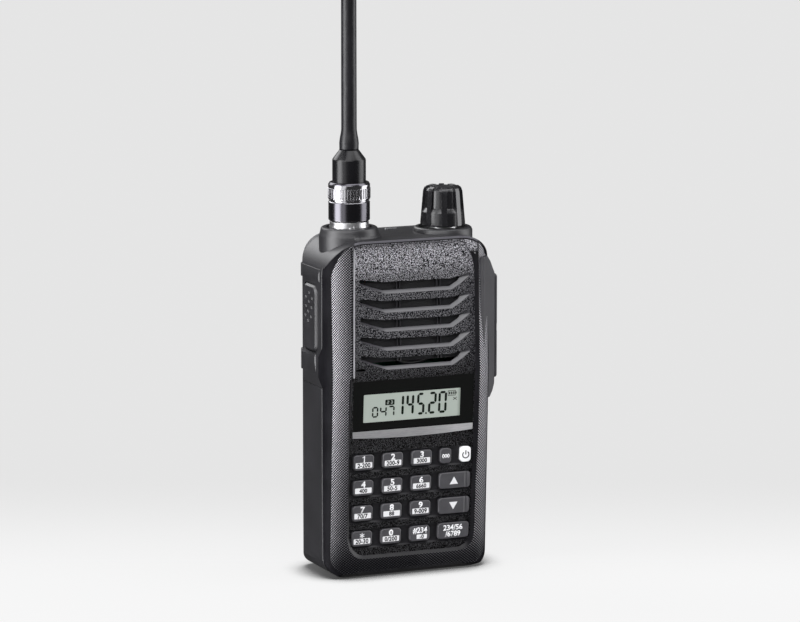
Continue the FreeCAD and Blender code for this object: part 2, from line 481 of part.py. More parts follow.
# ---------------------------------------------------------------- push-to-talk
pad = rrect_xz(PY0, PY1, PZ0, PZ1, 3.0, 0, 1.55)
pad.rotate(V(0, 0, 0), V(0, 0, 1), 90)
pad.translate(V(-28.35, 0, 0))
rim = [e for e in pad.Edges if e.BoundBox.XMax < -29.89]
try:
    pad = pad.makeChamfer(0.75, rim)
except Exception as err:
    print("pad chamfer skipped", err)
dots = []
for y, z in ((3.0, 93.65), (5.8, 92.0), (0.6, 92.0), (3.4, 90.7), (5.8, 88.9), (1.1, 88.9), (4.0, 87.4), (6.35, 85.8), (1.6, 85.8), (4.0, 84.3)):
    dots.append(Part.makeCone(0.62, 0.36, 0.36, V(-29.85, y, z), V(-1, 0, 0)))
pad = pad.multiFuse(dots + [cyl_x(1.45, -28.6, -25.3, 3.4, 85.5)]).removeSplitter()
keep("ptt_button", pad)
keep("ptt_switch", fuse(box(-23.8, -20.8, 0.6, 2.4, 82.5, 88.5), box(-23.8, -20.8, 0.6, 6.2, 82.5, 88.5)))

# ---------------------------------------------------------------- volume control
pot = fuse(box(KNB.x - 4.75, KNB.x + 4.75, -4.75, 4.75, 103.2, 108.6), cyl(3.4, 108.5, 113.9, KNB)).cut(cyl(1.58, 103.6, 115, KNB))
keep("volume_pot", pot)
hexa = [V(KNB.x + 5.2 * math.cos(math.radians(60 * i)), 5.2 * math.sin(math.radians(60 * i)), 112.65) for i in range(6)]
pot_nut = poly_face(hexa).extrude(V(0, 0, 1.5)).cut(cyl(3.42, 112, 115, KNB))
shaft = cyl(1.5, 103.8, 121.9, KNB).cut(box(KNB.x + 1.0, KNB.x + 3, -3, 3, 115.6, 123))
keep("knob_shaft", shaft)
KZ0, KZ1 = 114.3, 127.2
core = revolve([(0, KZ0), (6.35, KZ0), (5.75, 125.7), (5.2, 126.5), (4.2, 126.85), (0, 127.0)], KNB)
skirt = revolve([(0, KZ0), (7.1, KZ0), (7.12, KZ0 + 0.4), (6.95, KZ0 + 4.3), (6.1, KZ0 + 5.7), (0, KZ0 + 5.7)], KNB)
knob = core.fuse(skirt)
R0 = -113.3 + 4.0
for i in range(8):
    rib = poly_face([V(3.3, -0.95, KZ0), V(7.35, -0.95, KZ0), V(7.35, -0.95, KZ0 + 0.8), V(6.45, -0.95, 125.4), V(6.05, -0.95, 126.5), V(5.2, -0.95, 127.1), V(3.3, -0.95, KZ1)]).extrude(V(0, 1.9, 0))
    wedge = poly_face([V(3.3, -0.7, KZ0), V(7.6, -0.98, KZ0), V(7.6, 0.98, KZ0), V(3.3, 0.7, KZ0)]).extrude(V(0, 0, 13))
    rib = rib.common(wedge)
    rib.rotate(V(0, 0, 0), V(0, 0, 1), R0 + 45 * i)
    rib.translate(KNB)
    knob = knob.fuse(rib)
knob = knob.cut(cyl(5.9, KZ0 - 1, 116.6, KNB))
bore = cyl(1.56, 115, 122.2, KNB).cut(box(KNB.x + 1.06, KNB.x + 3, -3, 3, 115.6, 123))
knob = knob.cut(bore).removeSplitter()
keep("volume_knob", knob)

# ---------------------------------------------------------------- antenna socket (bayonet jack)
shell = revolve([(4.0, 118.6), (4.0, 126.0), (4.75, 126.0), (4.75, 108.0), (5.6, 108.0), (5.6, 105.5), (2.5, 105.5), (2.5, 110.0), (4.0, 110.0)], ANT)
shell = shell.cut(cyl(4.0, 109.9, 118.7, ANT))
for s in (-1, 1):
    shell = shell.fuse(cyl_y(0.85, 4.3, 5.45, ANT.x, 124.2) if s > 0 else cyl_y(0.85, -5.45, -4.3, ANT.x, 124.2))
keep("antenna_jack", shell.removeSplitter())
jack_nut = revolve([(4.8, 114.05), (6.6, 114.05), (6.6, 115.6), (6.4, 115.8), (6.4, 117.1), (6.25, 117.25), (4.8, 117.25)], ANT)
keep("socket_nuts", Part.makeCompound([pot_nut, jack_nut]))
keep("jack_insulator", revolve([(1.2, 110.1), (3.95, 110.1), (3.95, 121.2), (1.2, 121.2)], ANT))
keep("jack_contact", revolve([(0.78, 111.0), (1.15, 111.0), (1.15, 121.0), (0.78, 121.0)], ANT).fuse(cyl(0.7, 103.8, 108.0, ANT)).fuse(cyl(1.15, 107.5, 111.5, ANT)).removeSplitter())

# ---------------------------------------------------------------- antenna
ferrule = revolve([(1.6, 121.6), (3.8, 121.6), (3.8, 126.5), (5.95, 126.5), (5.95, 127.4), (5.5, 127.4), (5.5, 137.2), (5.38, 137.7), (3.2, 140.6), (2.62, 140.6), (2.62, 135.8), (0.7, 135.8), (0.7, 129.0), (1.6, 129.0)], ANT)
keep("antenna_ferrule", ferrule)
keep("antenna_pin", fuse(cyl(0.66, 113.0, 129.5, ANT), cyl(0.69, 129.4, 135.7, ANT)))
whip = revolve([(0, 135.9), (2.6, 135.9), (2.6, 140.65), (3.15, 140.65), (3.2, 142.8), (3.08, 144.0), (2.68, 146.2), (2.54, 147.5), (2.5, 200), (2.45, 270), (2.4, Z_TIP - 2.4), (2.0, Z_TIP - 0.9), (1.25, Z_TIP - 0.15), (0, Z_TIP)], ANT)
keep("antenna_whip", whip)
N_KN = 44
pts = []
for i in range(N_KN):
    a0 = 2 * math.pi * i / N_KN
    for da, r in ((-0.32, 6.72), (-0.2, 7.0), (0.2, 7.0), (0.32, 6.72)):
        a = a0 + da * 2 * math.pi / N_KN
        pts.append(V(ANT.x + r * math.cos(a), r * math.sin(a), 124.9))
knurl = poly_face(pts).extrude(V(0, 0, 3.3))
collar = revolve([(0, 117.6), (6.6, 117.6), (6.8, 117.8), (6.8, 123.6), (6.62, 123.8), (6.45, 123.9), (6.45, 124.25), (6.8, 124.4), (6.8, 125.0), (0, 125.0)], ANT)
cap2 = revolve([(0, 128.1), (6.8, 128.1), (6.85, 128.5), (6.85, 129.4), (6.4, 130.1), (0, 130.1)], ANT)
collar = collar.fuse(knurl).fuse(cap2)
collar = collar.cut(cyl(6.05, 117, 127.6, ANT)).cut(cyl(5.6, 127, 131, ANT)).removeSplitter()
keep("coupling_collar", collar)

# ---------------------------------------------------------------- battery
bat = BODY.common(yz_region([(YS + GAP, -5), (60, -5), (60, ZB - GAP), (YS + GAP, ZB - GAP)]))
# step that wraps the cast chassis, open towards the front and the top
bat = bat.cut(rrect_xz(-27.3, 27.3, 3.4, 90, (7.2, 1.0), -30, -0.55))
bat = bat.cut(rrect_xz(-27.3, 27.3, 3.4, 61.6, (7.2, 2.0), -30, 13.4))
LATX, LATY0, LATY1 = 7.0, 2.4, 7.0
bat = bat.cut(box(-LATX - 0.15, LATX + 0.15, LATY0 - 0.15, LATY1 + 2.2, -1, 1.45))
bat = bat.cut(box(-LATX + 1.8, LATX - 1.8, LATY0 + 0.8, LATY1 + 1.4, 1, 2.6))
# finger grooves on the back
for i in range(5):
    bat = bat.cut(cyl_x(1.2, -14, 14, YB + 0.85, 20 + 3.4 * i))
bat = bat.removeSplitter()
bat = seam_bevel(bat, YS + GAP, 0.28, [(5.0, 63.6), (-1, 5.0)])
keep("battery_case", bat)
lid = rrect_xz(-27.2, 27.2, 3.5, ZB - GAP - 0.1, (7.0, 0.8), -1.95, -0.65)
for x in CONX:
    lid = lid.cut(box(x - 1.3, x + 1.3, -2.2, -1.3, 49.5, 56.5))
keep("battery_lid", lid)
keep("battery_terminals", Part.makeCompound([box(x - 1.25, x + 1.25, -1.97, -1.35, 49.6, 56.4) for x in CONX]))
cells = []
for s in (-1, 1):
    c = rrect_xz(s * 13.4 - 12.6, s * 13.4 + 12.6, 7.5, 59.5, 2.0, 0.2, 12.0)
    cells.append(c)
keep("battery_cells", Part.makeCompound(cells))
latch = box(-LATX, LATX, LATY0, LATY1, 0.25, 1.35)
for i in range(5):
    latch = latch.cut(box(-LATX + 1, LATX - 1, LATY0 + 0.6 + 0.8 * i, LATY0 + 1.0 + 0.8 * i, 0, 0.5))
latch = latch.fuse(box(-LATX + 2, LATX - 2, LATY0 + 1.0, LATY1 - 1.0, 1.2, 2.4)).removeSplitter()
keep("battery_latch", latch)

# ---------------------------------------------------------------- export
for name, shape in OUT.items():
    bad = [s for s in shape.Solids if not s.isValid()]
    if not shape.Solids or bad:
        print("CHECK", name, "solids", len(shape.Solids), "invalid", len(bad))
    if len(shape.Solids) == 1:
        shape = shape.Solids[0]
    shape.exportStep("parts/%s.step" % name)
print(len(OUT), "nodes;", {n: len(s.Solids) for n, s in OUT.items() if len(s.Solids) != 1})
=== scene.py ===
import json
import math
import bmesh
import bpy
from mathutils import Matrix, Vector


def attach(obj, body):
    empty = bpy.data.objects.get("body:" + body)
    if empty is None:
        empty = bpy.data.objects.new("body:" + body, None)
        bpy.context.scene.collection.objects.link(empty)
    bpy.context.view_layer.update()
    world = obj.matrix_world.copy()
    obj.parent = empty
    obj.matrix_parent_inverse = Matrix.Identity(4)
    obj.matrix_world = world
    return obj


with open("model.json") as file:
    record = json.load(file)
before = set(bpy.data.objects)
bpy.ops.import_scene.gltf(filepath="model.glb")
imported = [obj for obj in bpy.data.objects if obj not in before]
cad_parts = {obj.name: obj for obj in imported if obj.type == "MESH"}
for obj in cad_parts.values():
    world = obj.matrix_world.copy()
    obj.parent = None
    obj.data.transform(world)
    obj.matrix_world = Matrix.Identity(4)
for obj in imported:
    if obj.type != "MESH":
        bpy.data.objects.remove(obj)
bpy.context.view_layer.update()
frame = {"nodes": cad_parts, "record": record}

MM = 0.001
NODES = frame["nodes"]
scene = bpy.context.scene
scene.view_settings.view_transform = "Standard"

# ------------------------------------------------------------------ numbers shared with the CAD model (mm)
YF, ZT = -15.25, 67.0
T1, T2 = math.radians(3.94), math.radians(2.14)
COLS = (-17.1, -6.75, 3.6)
ROWS = (38.8, 30.2, 21.6, 13.0)


def flat_z(z):
    return ZT - (ZT - z) / math.cos(T1)


def face_frame(x, z, depth, low=True):
    """Frame on the leaning front: local x to the right, local y up the face, local z out of it. Metres."""
    ang = T1 if low else -T2
    zz = flat_z(z) if low else ZT + (z - ZT) / math.cos(T2)
    piv = Vector((0, YF, ZT))
    p = piv + Matrix.Rotation(ang, 3, "X") @ (Vector((x, YF + depth, zz)) - piv)
    rot = Matrix.Rotation(ang, 4, "X") @ Matrix.Rotation(math.radians(90), 4, "X")
    return Matrix.Translation(p * MM) @ rot


# ------------------------------------------------------------------ node-graph helpers
class Mat:
    def __init__(self, name):
        self.m = bpy.data.materials.new(name)
        self.m.use_nodes = True
        self.nt = self.m.node_tree
        self.nt.nodes.clear()
        self.out = self.nt.nodes.new("ShaderNodeOutputMaterial")
        self.b = self.nt.nodes.new("ShaderNodeBsdfPrincipled")
        self.nt.links.new(self.b.outputs[0], self.out.inputs[0])
        tc = self.nt.nodes.new("ShaderNodeTexCoord")
        sc = self.nt.nodes.new("ShaderNodeVectorMath")
        sc.operation = "SCALE"
        sc.inputs[3].default_value = 1000.0
        self.nt.links.new(tc.outputs["Object"], sc.inputs[0])
        self.p = sc.outputs[0]
        sep = self.nt.nodes.new("ShaderNodeSeparateXYZ")
        self.nt.links.new(self.p, sep.inputs[0])
        self.x, self.y, self.z = sep.outputs[0], sep.outputs[1], sep.outputs[2]

    def put(self, sock, v):
        if isinstance(v, bpy.types.NodeSocket):
            self.nt.links.new(v, sock)
        elif isinstance(v, (tuple, list)) and len(v) == 3 and sock.type == "RGBA":
            sock.default_value = (*v, 1.0)
        else:
            sock.default_value = v

    def f(self, op, a, b=None, c=None, clamp=False):
        n = self.nt.nodes.new("ShaderNodeMath")
        n.operation = op
        n.use_clamp = clamp
        self.put(n.inputs[0], a)
        if b is not None:
            self.put(n.inputs[1], b)
        if c is not None:
            self.put(n.inputs[2], c)
        return n.outputs[0]

    def vec(self, x, y, z):
        n = self.nt.nodes.new("ShaderNodeCombineXYZ")
        for i, v in enumerate((x, y, z)):
            self.put(n.inputs[i], v)
        return n.outputs[0]

    def vscale(self, v, s):
        n = self.nt.nodes.new("ShaderNodeVectorMath")
        n.operation = "MULTIPLY"
        self.put(n.inputs[0], v)
        n.inputs[1].default_value = s
        return n.outputs[0]

    def ramp(self, v, lo, hi, a=0.0, b=1.0):
        n = self.nt.nodes.new("ShaderNodeMapRange")
        n.interpolation_type = "SMOOTHSTEP"
        for i, w in enumerate((v, lo, hi, a, b)):
            self.put(n.inputs[i], w)
        return n.outputs[0]

    def noise(self, scale, detail=4.0, rough=0.5, vec=None):
        n = self.nt.nodes.new("ShaderNodeTexNoise")
        self.put(n.inputs["Vector"], self.p if vec is None else vec)
        n.inputs["Scale"].default_value = scale
        n.inputs["Detail"].default_value = detail
        n.inputs["Roughness"].default_value = rough
        return n.outputs[0]

    def voronoi(self, scale, feature="F1", vec=None, rnd=1.0):
        n = self.nt.nodes.new("ShaderNodeTexVoronoi")
        n.feature = feature
        self.put(n.inputs["Vector"], self.p if vec is None else vec)
        n.inputs["Scale"].default_value = scale
        n.inputs["Randomness"].default_value = rnd
        return n.outputs["Distance"]

    def mix(self, fac, a, b):
        n = self.nt.nodes.new("ShaderNodeMix")
        n.data_type = "RGBA"
        self.put(n.inputs[0], fac)
        self.put(n.inputs[6], a if isinstance(a, bpy.types.NodeSocket) else (*a, 1.0))
        self.put(n.inputs[7], b if isinstance(b, bpy.types.NodeSocket) else (*b, 1.0))
        return n.outputs[2]

    def mixf(self, fac, a, b):
        n = self.nt.nodes.new("ShaderNodeMix")
        n.data_type = "FLOAT"
        self.put(n.inputs[0], fac)
        self.put(n.inputs[2], a)
        self.put(n.inputs[3], b)
        return n.outputs[0]

    def bump(self, height, strength=1.0, dist=0.1, normal=None):
        """dist in mm for height 1."""
        n = self.nt.nodes.new("ShaderNodeBump")
        n.inputs["Strength"].default_value = strength
        n.inputs["Distance"].default_value = dist * MM
        self.put(n.inputs["Height"], height)
        if normal is not None:
            self.nt.links.new(normal, n.inputs["Normal"])
        return n.outputs[0]

    def set(self, **kw):
        names = {"color": "Base Color", "rough": "Roughness", "metal": "Metallic", "normal": "Normal", "spec": "Specular IOR Level",
                 "coat": "Coat Weight", "coat_rough": "Coat Roughness", "ior": "IOR", "sheen": "Sheen Weight", "emit": "Emission Color", "emit_s": "Emission Strength"}
        for k, v in kw.items():
            self.put(self.b.inputs[names[k]], v)
        return self.m


def plastic(name, color, rough, grain=0.02, grain_scale=2.2, spec=0.5, vary=0.25, coat=0.0, coat_rough=0.1):
    """Moulded plastic or rubber: fine moulding grain, slight tone and gloss variation."""
    a = Mat(name)
    big = a.noise(0.11, 3.0)
    fine = a.noise(grain_scale, 3.0, 0.6)
    dark = tuple(c * (1 - vary) for c in color)
    light = tuple(c * (1 + vary) for c in color)
    col = a.mix(a.ramp(big, 0.3, 0.7), dark, light)
    r = a.f("ADD", a.f("MULTIPLY", a.f("SUBTRACT", a.noise(0.35, 3.0), 0.5), 0.10), a.f("ADD", rough, a.f("MULTIPLY", a.f("SUBTRACT", fine, 0.5), 0.06)))
    a.set(color=col, rough=r, spec=spec, coat=coat, coat_rough=coat_rough, normal=a.bump(fine, 1.0, grain))
    return a.m


def metal(name, color, rough, brushed=None, scratch=0.004):
    a = Mat(name)
    v = a.p if brushed is None else a.vscale(a.p, brushed)
    n1 = a.noise(3.0, 4.0, 0.6, v)
    n2 = a.noise(0.4, 3.0)
    col = a.mix(a.ramp(n2, 0.3, 0.75), tuple(c * 0.93 for c in color), color)
    a.set(color=col, metal=1.0, rough=a.f("ADD", rough, a.f("MULTIPLY", a.f("SUBTRACT", n1, 0.45), 0.12)), normal=a.bump(n1, 1.0, scratch))
    return a.m


# ------------------------------------------------------------------ materials
def front_depth(a):
    """Depth in mm behind the leaning front face."""
    low = a.f("MULTIPLY", a.f("SUBTRACT", ZT, a.z), math.tan(T1))
    up = a.f("MULTIPLY", a.f("SUBTRACT", a.z, ZT), math.tan(T2))
    return a.f("SUBTRACT", a.f("SUBTRACT", a.y, YF), a.f("MAXIMUM", low, up))


def outline_depth(a):
    """Distance in mm inside the housing's outline, seen from the front."""
    r = a.ramp(a.z, 40.0, 70.0, 7.6, 12.0)
    qx = a.f("SUBTRACT", a.f("ABSOLUTE", a.x), a.f("SUBTRACT", 29.3, r))
    qz = a.f("SUBTRACT", a.f("ABSOLUTE", a.f("SUBTRACT", a.z, 56.0)), a.f("SUBTRACT", 56.0, r))
    px, pz = a.f("MAXIMUM", qx, 0.0), a.f("MAXIMUM", qz, 0.0)
    out = a.f("SQRT", a.f("ADD", a.f("MULTIPLY", px, px), a.f("MULTIPLY", pz, pz)))
    ins = a.f("MINIMUM", a.f("MAXIMUM", qx, qz), 0.0)
    return a.f("SUBTRACT", a.f("SUBTRACT", r, out), ins)


def weave(a, period_s=1.14, period_z=0.87):
    """Fine diagonal diamond pattern that wraps round the corners."""
    s = a.f("ADD", a.f("ABSOLUTE", a.x), a.y)
    u = a.f("MULTIPLY", s, 2 * math.pi / period_s)
    v = a.f("MULTIPLY", a.z, 2 * math.pi / period_z)
    h = a.f("ADD", a.f("SINE", a.f("ADD", u, v)), a.f("MULTIPLY", a.f("SINE", a.f("SUBTRACT", u, v)), 0.8))
    return a.f("ADD", a.f("MULTIPLY", h, 0.28), 0.5)


def leather(a, scale=3.4):
    """Pebbled moulding grain."""
    warp = a.nt.nodes.new("ShaderNodeVectorMath")
    warp.operation = "ADD"
    nz = a.nt.nodes.new("ShaderNodeTexNoise")
    nz.inputs["Scale"].default_value = 1.5
    a.nt.links.new(a.p, nz.inputs["Vector"])
    sc = a.nt.nodes.new("ShaderNodeVectorMath")
    sc.operation = "SCALE"
    sc.inputs[3].default_value = 0.4
    a.nt.links.new(nz.outputs["Color"], sc.inputs[0])
    a.nt.links.new(a.p, warp.inputs[0])
    a.nt.links.new(sc.outputs[0], warp.inputs[1])
    v = a.voronoi(scale, "SMOOTH_F1", warp.outputs[0])
    n = a.noise(4.6, 2.0, 0.6)
    return a.f("SUBTRACT", a.f("MULTIPLY", n, 0.8), a.f("MULTIPLY", v, 0.9))


def case_material():
    a = Mat("case_front_plastic")
    d, o = front_depth(a), outline_depth(a)
    ax = a.f("ABSOLUTE", a.x)
    in_x = a.ramp(ax, 22.75, 22.55)
    panel = a.f("MULTIPLY", a.f("MULTIPLY", a.ramp(d, 0.86, 0.93), in_x), a.ramp(d, 1.12, 1.04))
    # the bead that stands beside the upper panel
    upper = a.ramp(a.z, 67.2, 67.8)
    xb = a.f("ADD", -21.75, a.f("MULTIPLY", a.f("SUBTRACT", a.z, 67.6), 0.01905))
    left = a.mixf(upper, -23.1, xb)
    near_c = a.f("MULTIPLY", a.ramp(a.x, 23.55, 23.35), a.ramp(a.f("SUBTRACT", a.x, left), -0.08, 0.08))
    wall = a.f("MULTIPLY", near_c, a.ramp(d, 0.02, 0.07))
    # the plain band inside the seam is widest along the sides and thin along the top
    wide = a.f("MULTIPLY", a.ramp(ax, 19.0, 27.0), a.ramp(a.z, 111.6, 104.0))
    edge = a.f("ADD", 0.35, a.f("MULTIPLY", wide, 1.25))
    strip = a.f("MULTIPLY", a.f("SUBTRACT", 1.0, wall), a.ramp(a.f("SUBTRACT", o, edge), -0.10, 0.12))
    strip = a.f("MULTIPLY", strip, a.ramp(a.f("ADD", a.z, a.f("MULTIPLY", a.ramp(ax, 18.0, 26.0), 6.0)), 1.9, 2.4))
    crown = a.f("MULTIPLY", a.f("MULTIPLY", a.ramp(a.x, 23.6, 22.8), a.ramp(a.f("SUBTRACT", a.x, xb), 0.0, 0.3)), a.ramp(a.z, 106.5, 107.5))
    strip = a.f("MULTIPLY", strip, a.f("SUBTRACT", 1.0, crown))
    # painted highlight: a lighter line along the outer edge of the crown at the top
    rim_painted_highlight = a.f("MULTIPLY", crown, a.ramp(o, 0.75, 0.45))
    panel = a.f("MAXIMUM", panel, a.f("MULTIPLY", crown, a.ramp(o, 0.85, 1.05)))
    # painted highlight: the bead beside the upper panel is coloured light, standing in for light on its chamfered edge
    off = a.f("ABSOLUTE", a.f("SUBTRACT", a.f("SUBTRACT", a.x, xb), 0.42))
    bead_painted_highlight = a.f("MULTIPLY", a.f("MULTIPLY", a.ramp(off, 0.44, 0.36), a.ramp(d, 0.86, 0.78)), a.f("MULTIPLY", upper, a.ramp(a.z, 109.5, 109.0)))
    seam = a.f("MULTIPLY", a.ramp(ax, 22.0, 25.0), a.ramp(a.f("SUBTRACT", o, edge), 0.10, -0.10))
    w, l = weave(a), leather(a)
    big = a.noise(0.12, 3.0)
    base = a.mix(a.ramp(big, 0.3, 0.7), (0.005, 0.0048, 0.0058), (0.008, 0.0078, 0.0092))
    top_painted_highlight = a.ramp(a.z, 95.0, 108.0)
    low = a.ramp(a.z, 82.0, 64.0)
    # painted light and shade: the grain's tops are coloured lighter and its hollows near black, standing in for
    # highlights on the grain and shade in its hollows; the specular level follows it
    grain_painted_light = a.ramp(l, -0.08, 0.24)
    pcol = a.mix(grain_painted_light, (0.002, 0.002, 0.003), (0.075, 0.0735, 0.084))
    # painted shade: the lower part of the panel is coloured darker, and its specular level is turned down further on
    pcol = a.mix(low, pcol, a.mix(grain_painted_light, (0.001, 0.001, 0.001), (0.018, 0.0175, 0.0205)))
    # painted highlight: the panel's colour turns much lighter towards its top edge
    pcol = a.mix(top_painted_highlight, pcol, a.mix(grain_painted_light, (0.007, 0.007, 0.008), (0.50, 0.492, 0.53)))
    # the bevels that lead down into the recesses are smooth and get a lighter colour and a high specular level: a
    # painted highlight, weaker towards the bottom
    lip_painted_highlight = a.f("MULTIPLY", a.ramp(a.z, 60.0, 66.0, 0.12, 1.0), a.f("MULTIPLY", in_x, a.f("MULTIPLY", a.ramp(d, 1.12, 1.22), a.ramp(d, 2.3, 2.0))))
    col = a.mix(panel, base, pcol)
    # painted highlight on the recess bevels
    col = a.mix(lip_painted_highlight, col, (0.046, 0.045, 0.051))
    # painted highlight along the crown's top edge
    col = a.mix(rim_painted_highlight, col, (0.10, 0.098, 0.11))
    # painted light and shade: the weave's ridges are coloured light and its pits near black, standing in for highlights
    # on the ridges and shade in the pits; the specular level follows it
    weave_painted_light = a.ramp(w, 0.42, 0.86)
    # painted shade and highlight: the weave strips are coloured darker towards the bottom and towards the inner edge of
    # the left strip, so that strip's outer edge reads lit; the specular level follows it
    painted_light_and_shade = a.f("MULTIPLY", a.ramp(a.z, 3.0, 15.0, 0.10, 1.0), a.ramp(a.z, 4.0, 72.0, 0.40, 1.0))
    painted_light_and_shade = a.f("MULTIPLY", painted_light_and_shade, a.f("MAXIMUM", a.ramp(a.x, -27.5, -22.0, 1.0, 0.42), a.ramp(a.x, 0.0, 5.0)))
    # weave colour, with painted light on the ridges and painted shade in the pits
    scol = a.mix(weave_painted_light, (0.001, 0.001, 0.0012), (0.42, 0.412, 0.445))
    col = a.mix(strip, col, a.mix(painted_light_and_shade, (0.004, 0.004, 0.005), scol))
    # painted highlight on the bead
    col = a.mix(bead_painted_highlight, col, (0.36, 0.355, 0.375))
    rough = a.mixf(panel, a.f("ADD", 0.34, a.f("MULTIPLY", big, 0.1)), 0.38)
    rough = a.mixf(strip, rough, 0.32)
    fine = a.noise(2.4, 3.0, 0.6)
    h = a.f("ADD", a.f("ADD", a.f("MULTIPLY", a.f("MULTIPLY", l, panel), 1.0), a.f("MULTIPLY", a.f("MULTIPLY", w, strip), 0.45)), a.f("MULTIPLY", fine, 0.05))
    # the panel rolls back a little towards the top edge
    dz = a.f("MAXIMUM", a.f("SUBTRACT", a.z, 91.0), 0.0)
    roll = a.f("MULTIPLY", a.f("MULTIPLY", a.f("MULTIPLY", dz, dz), panel), -0.026)
    h = a.f("ADD", h, roll)
    pspec = a.f("MULTIPLY", a.f("ADD", 0.02, a.f("MULTIPLY", grain_painted_light, 0.85)), a.mixf(low, 1.0, 0.35))
    wspec = a.f("MULTIPLY", a.f("ADD", 0.02, a.f("MULTIPLY", weave_painted_light, 1.3)), a.mixf(painted_light_and_shade, 0.1, 1.0))
    plain = a.f("MULTIPLY", a.ramp(a.x, 19.0, 21.5, 0.30, 0.04), a.ramp(seam, 0.0, 1.0, 1.0, 0.05))
    spec = a.mixf(strip, a.mixf(panel, a.mixf(lip_painted_highlight, plain, 0.80), pspec), wspec)
    a.set(color=col, rough=rough, spec=spec, normal=a.bump(h, 1.0, 0.28))
    return a.m


def frame_material():
    """Satin frame plastic with slight tone variation and a fine grain."""
    a = Mat("frame_plastic")
    big, fine = a.noise(0.10, 3.0), a.noise(2.0, 3.0, 0.6)
    col = a.mix(a.ramp(big, 0.3, 0.7), (0.0075, 0.0073, 0.0086), (0.0115, 0.0112, 0.0131))
    rough = a.f("ADD", 0.38, a.f("MULTIPLY", a.noise(0.3, 3.0), 0.08))
    a.set(color=col, rough=rough, spec=0.5, normal=a.bump(fine, 1.0, 0.03))
    return a.m


def housing_material():
    """Soft-touch moulding of the socket housing."""
    a = Mat("housing_rubber")
    big, fine = a.noise(0.12, 3.0), a.noise(2.2, 3.0, 0.6)
    col = a.mix(a.ramp(big, 0.3, 0.7), (0.022, 0.0215, 0.0245), (0.030, 0.0293, 0.0335))
    a.set(color=col, rough=a.f("ADD", 0.44, a.f("MULTIPLY", big, 0.08)), spec=0.5, normal=a.bump(fine, 1.0, 0.05))
    return a.m


def rear_material():
    a = Mat("rear_plastic")
    l = leather(a, 1.8)
    big = a.noise(0.10, 3.0)
    back = a.ramp(a.y, 12.6, 13.2)
    col = a.mix(a.ramp(big, 0.3, 0.7), (0.0075, 0.0073, 0.0086), (0.0115, 0.0112, 0.0131))
    col = a.mix(a.f("MULTIPLY", back, a.ramp(l, -0.1, 0.3)), col, (0.045, 0.044, 0.05))
    h = a.f("ADD", a.f("MULTIPLY", a.f("MULTIPLY", l, back), 0.5), a.f("MULTIPLY", a.noise(2.0, 3.0, 0.6), 0.10))
    a.set(color=col, rough=a.mixf(back, 0.42, 0.52), spec=0.5, normal=a.bump(h, 1.0, 0.22))
    return a.m


def window_material():
    a = Mat("window_gloss")
    n = a.noise(0.3, 2.0)
    a.set(color=a.mix(n, (0.0052, 0.0056, 0.0052), (0.0062, 0.0066, 0.0062)), rough=a.f("ADD", 0.09, a.f("MULTIPLY", a.noise(1.2, 3.0), 0.03)), spec=0.38)
    return a.m


def silver_material():
    a = Mat("silver_paint")
    grain = a.noise(2.5, 4.0, 0.6, a.vscale(a.p, (0.15, 1.0, 3.0)))
    flake = a.noise(9.0, 2.0, 0.7)
    col = a.mix(a.ramp(grain, 0.3, 0.7), (0.265, 0.265, 0.27), (0.355, 0.355, 0.36))
    # painted highlight: the trim is coloured lighter towards its right end
    col = a.mix(a.ramp(a.x, 2.0, 20.0), col, a.mix(a.ramp(grain, 0.3, 0.7), (0.40, 0.40, 0.405), (0.52, 0.52, 0.525)))
    a.set(color=col, metal=0.35, rough=a.f("ADD", 0.34, a.f("MULTIPLY", flake, 0.10)), normal=a.bump(flake, 1.0, 0.004))
    return a.m


def lcd_material():
    a = Mat("lcd_glass")
    col = a.mix(a.noise(0.15, 2.0), (0.335, 0.375, 0.335), (0.365, 0.405, 0.365))
    # painted shade: the display is coloured darker at its left and right ends
    edge = a.f("MULTIPLY", a.ramp(a.x, 16.9, 15.6), a.ramp(a.x, -17.9, -17.2))
    col = a.mix(edge, (0.22, 0.25, 0.22), col)
    a.set(color=col, rough=0.22, spec=0.4, normal=a.bump(a.noise(6.0, 2.0), 1.0, 0.002))
    return a.m


def ink_material(name, color, rough=0.45, spec=0.5):
    a = Mat(name)
    n = a.noise(4.0, 3.0)
    a.set(color=a.mix(n, tuple(c * 0.93 for c in color), color), rough=a.f("ADD", rough, a.f("MULTIPLY", n, 0.08)), spec=spec, normal=a.bump(n, 1.0, 0.004))
    return a.m


def key_material():
    a = Mat("key_rubber")
    fine = a.noise(3.0, 3.0, 0.6)
    big = a.noise(0.25, 2.0)
    col = a.mix(a.ramp(big, 0.3, 0.7), (0.047, 0.0458, 0.0505), (0.058, 0.0567, 0.0622))
    a.set(color=col, rough=a.f("ADD", 0.40, a.f("MULTIPLY", fine, 0.10)), spec=0.5, normal=a.bump(fine, 1.0, 0.012))
    return a.m


def collar_material():
    """Nickel-plated collar: bright rings and knurl, a smooth dark-finished sleeve between them."""
    a = Mat("plated_nickel")
    sleeve = a.f("MULTIPLY", a.ramp(a.z, 117.75, 117.95), a.ramp(a.z, 123.75, 123.55))
    cap = a.ramp(a.z, 129.3, 129.5)
    dark = a.f("MAXIMUM", sleeve, cap)
    n = a.noise(2.0, 4.0, 0.6, a.vscale(a.p, (1, 1, 0.2)))
    col = a.mix(a.ramp(n, 0.3, 0.75), (0.30, 0.297, 0.309), (0.36, 0.357, 0.369))
    col = a.mix(dark, col, (0.080, 0.078, 0.087))
    r = a.f("ADD", a.mixf(dark, 0.13, 0.20), a.f("MULTIPLY", a.f("SUBTRACT", n, 0.45), 0.10))
    a.set(color=col, metal=1.0, rough=r, normal=a.bump(n, 1.0, 0.002))
    return a.m


